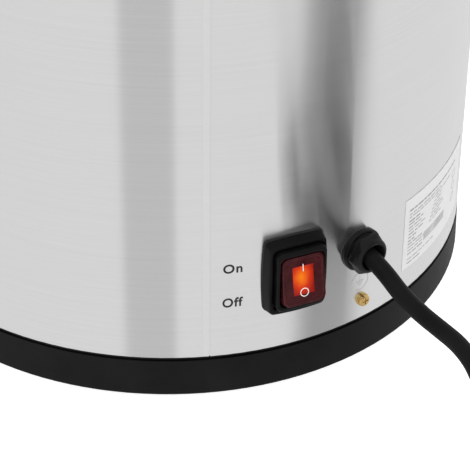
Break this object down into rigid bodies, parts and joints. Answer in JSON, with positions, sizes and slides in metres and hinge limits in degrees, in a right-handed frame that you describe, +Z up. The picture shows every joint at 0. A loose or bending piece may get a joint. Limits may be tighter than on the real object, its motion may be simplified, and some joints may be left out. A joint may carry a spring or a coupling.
{
  "type": "soup kettle",
  "caption": "Electric wet-well soup kettle with a brushed steel casing, black base, lift-out pot, split hinged lid, lit rocker switch and mains cord.",
  "frame": {"origin": "on the floor, on the casing's axis", "axes": "+Z up; the control knob faces -Y and the mains switch and cord face +Y; the handles lie along X"},
  "size_m": [0.3887, 0.5807, 0.3468],
  "materials": {
    "shell_steel": "horizontally brushed",
    "vessel_steel": "satin, drawn",
    "base_plastic": "fine moulded texture",
    "plate_steel": "zinc plated",
    "foot_rubber": "moulded",
    "screw_steel": "zinc plated",
    "phenolic": "moulded, semi-gloss",
    "insulation": "glass wool",
    "aluminium": "rolled",
    "element_steel": "oxidised",
    "copper": "drawn copper",
    "control_plastic": "moulded",
    "pointer_white": "printed white",
    "dial": "black printed aluminium",
    "lamp_green": "clear tinted",
    "switch_black": "moulded, satin",
    "switch_nylon": "moulded nylon",
    "rocker_red": "tinted, under a clear cover",
    "rocker_glow": "lit from behind",
    "gland_black": "moulded nylon",
    "cord_rubber": "smooth sheath",
    "plug_black": "moulded",
    "pin_plated": "nickel plated",
    "brass": "turned brass",
    "label": "silver film with grey print",
    "ceramic": "glazed",
    "wire": "insulated cores"
  },
  "bodies": {
    "kettle": {"outer_shell": "shell_steel", "base_ring": "base_plastic", "base_plate": "plate_steel", "base_screws": "screw_steel", "rubber_feet": "foot_rubber", "foot_screws": "screw_steel", "foot_nuts": "screw_steel", "water_well": "vessel_steel", "insulation_blanket": "insulation", "heat_spreader": "aluminium", "heating_element": "element_steel", "well_stud": "screw_steel", "clamp_bar": "plate_steel", "clamp_nut": "screw_steel", "thermal_cutout": "ceramic", "thermostat_body": "control_plastic", "thermostat_screws": "screw_steel", "thermostat_bulb": "copper", "dial_plate": "dial", "lamp_lens": "lamp_green", "lamp_body": "switch_nylon", "switch_gasket": "switch_black", "switch_frame": "switch_black", "switch_bezel": "switch_black", "switch_body": "switch_nylon", "switch_terminals": "brass", "gland_body": "gland_black", "gland_nut": "gland_black", "gland_seal": "foot_rubber", "gland_locknut": "gland_black", "cord_tail": "cord_rubber", "earth_screw": "brass", "earth_nut_and_washers": "brass", "rating_label": "label", "terminal_block": "ceramic", "wiring": "wire", "handle_screws": "screw_steel", "power_cord": "cord_rubber", "cord_coil": "cord_rubber", "plug_lead": "cord_rubber", "plug_body": "plug_black", "plug_pins": "pin_plated", "handle_left": "phenolic", "handle_right": "phenolic"},
    "knob": {"thermostat_shaft": "screw_steel", "control_knob": "phenolic", "knob_pointer": "pointer_white"},
    "rocker": {"switch_rocker": "rocker_red", "switch_membrane": "rocker_red", "switch_lens": "rocker_glow"},
    "pot": {"inner_pot": "vessel_steel"},
    "lid": {"lid_rear": "vessel_steel", "hinge_leaf_rear": "vessel_steel", "hinge_pin": "screw_steel", "hinge_rivets_rear": "screw_steel"},
    "lid_flap": {"lid_front": "vessel_steel", "hinge_leaf_front": "vessel_steel", "hinge_rivets_front": "screw_steel", "lid_knob": "phenolic", "lid_knob_screw": "screw_steel"}
  },
  "joints": [
    {"name": "knob_turn", "type": "hinge", "parent": "kettle", "child": "knob", "pos_m": [0, -0.155, 0.072], "axis": [0, 1, 0], "range_deg": [0, 270]},
    {"name": "rocker_press", "type": "hinge", "parent": "kettle", "child": "rocker", "pos_m": [0.02241, 0.15943, 0.0715], "axis": [-0.9903, 0.1392, 0], "range_deg": [0, 20]},
    {"name": "pot_lift", "type": "slide", "parent": "kettle", "child": "pot", "axis": [0, 0, 1], "range_m": [0, 0.22]},
    {"name": "lid_lift", "type": "slide", "parent": "pot", "child": "lid", "axis": [0, 0, 1], "range_m": [0, 0.08]},
    {"name": "flap_open", "type": "hinge", "parent": "lid", "child": "lid_flap", "pos_m": [0, 0, 0.3214], "axis": [-1, 0, 0], "range_deg": [0, 140]}
  ]
}
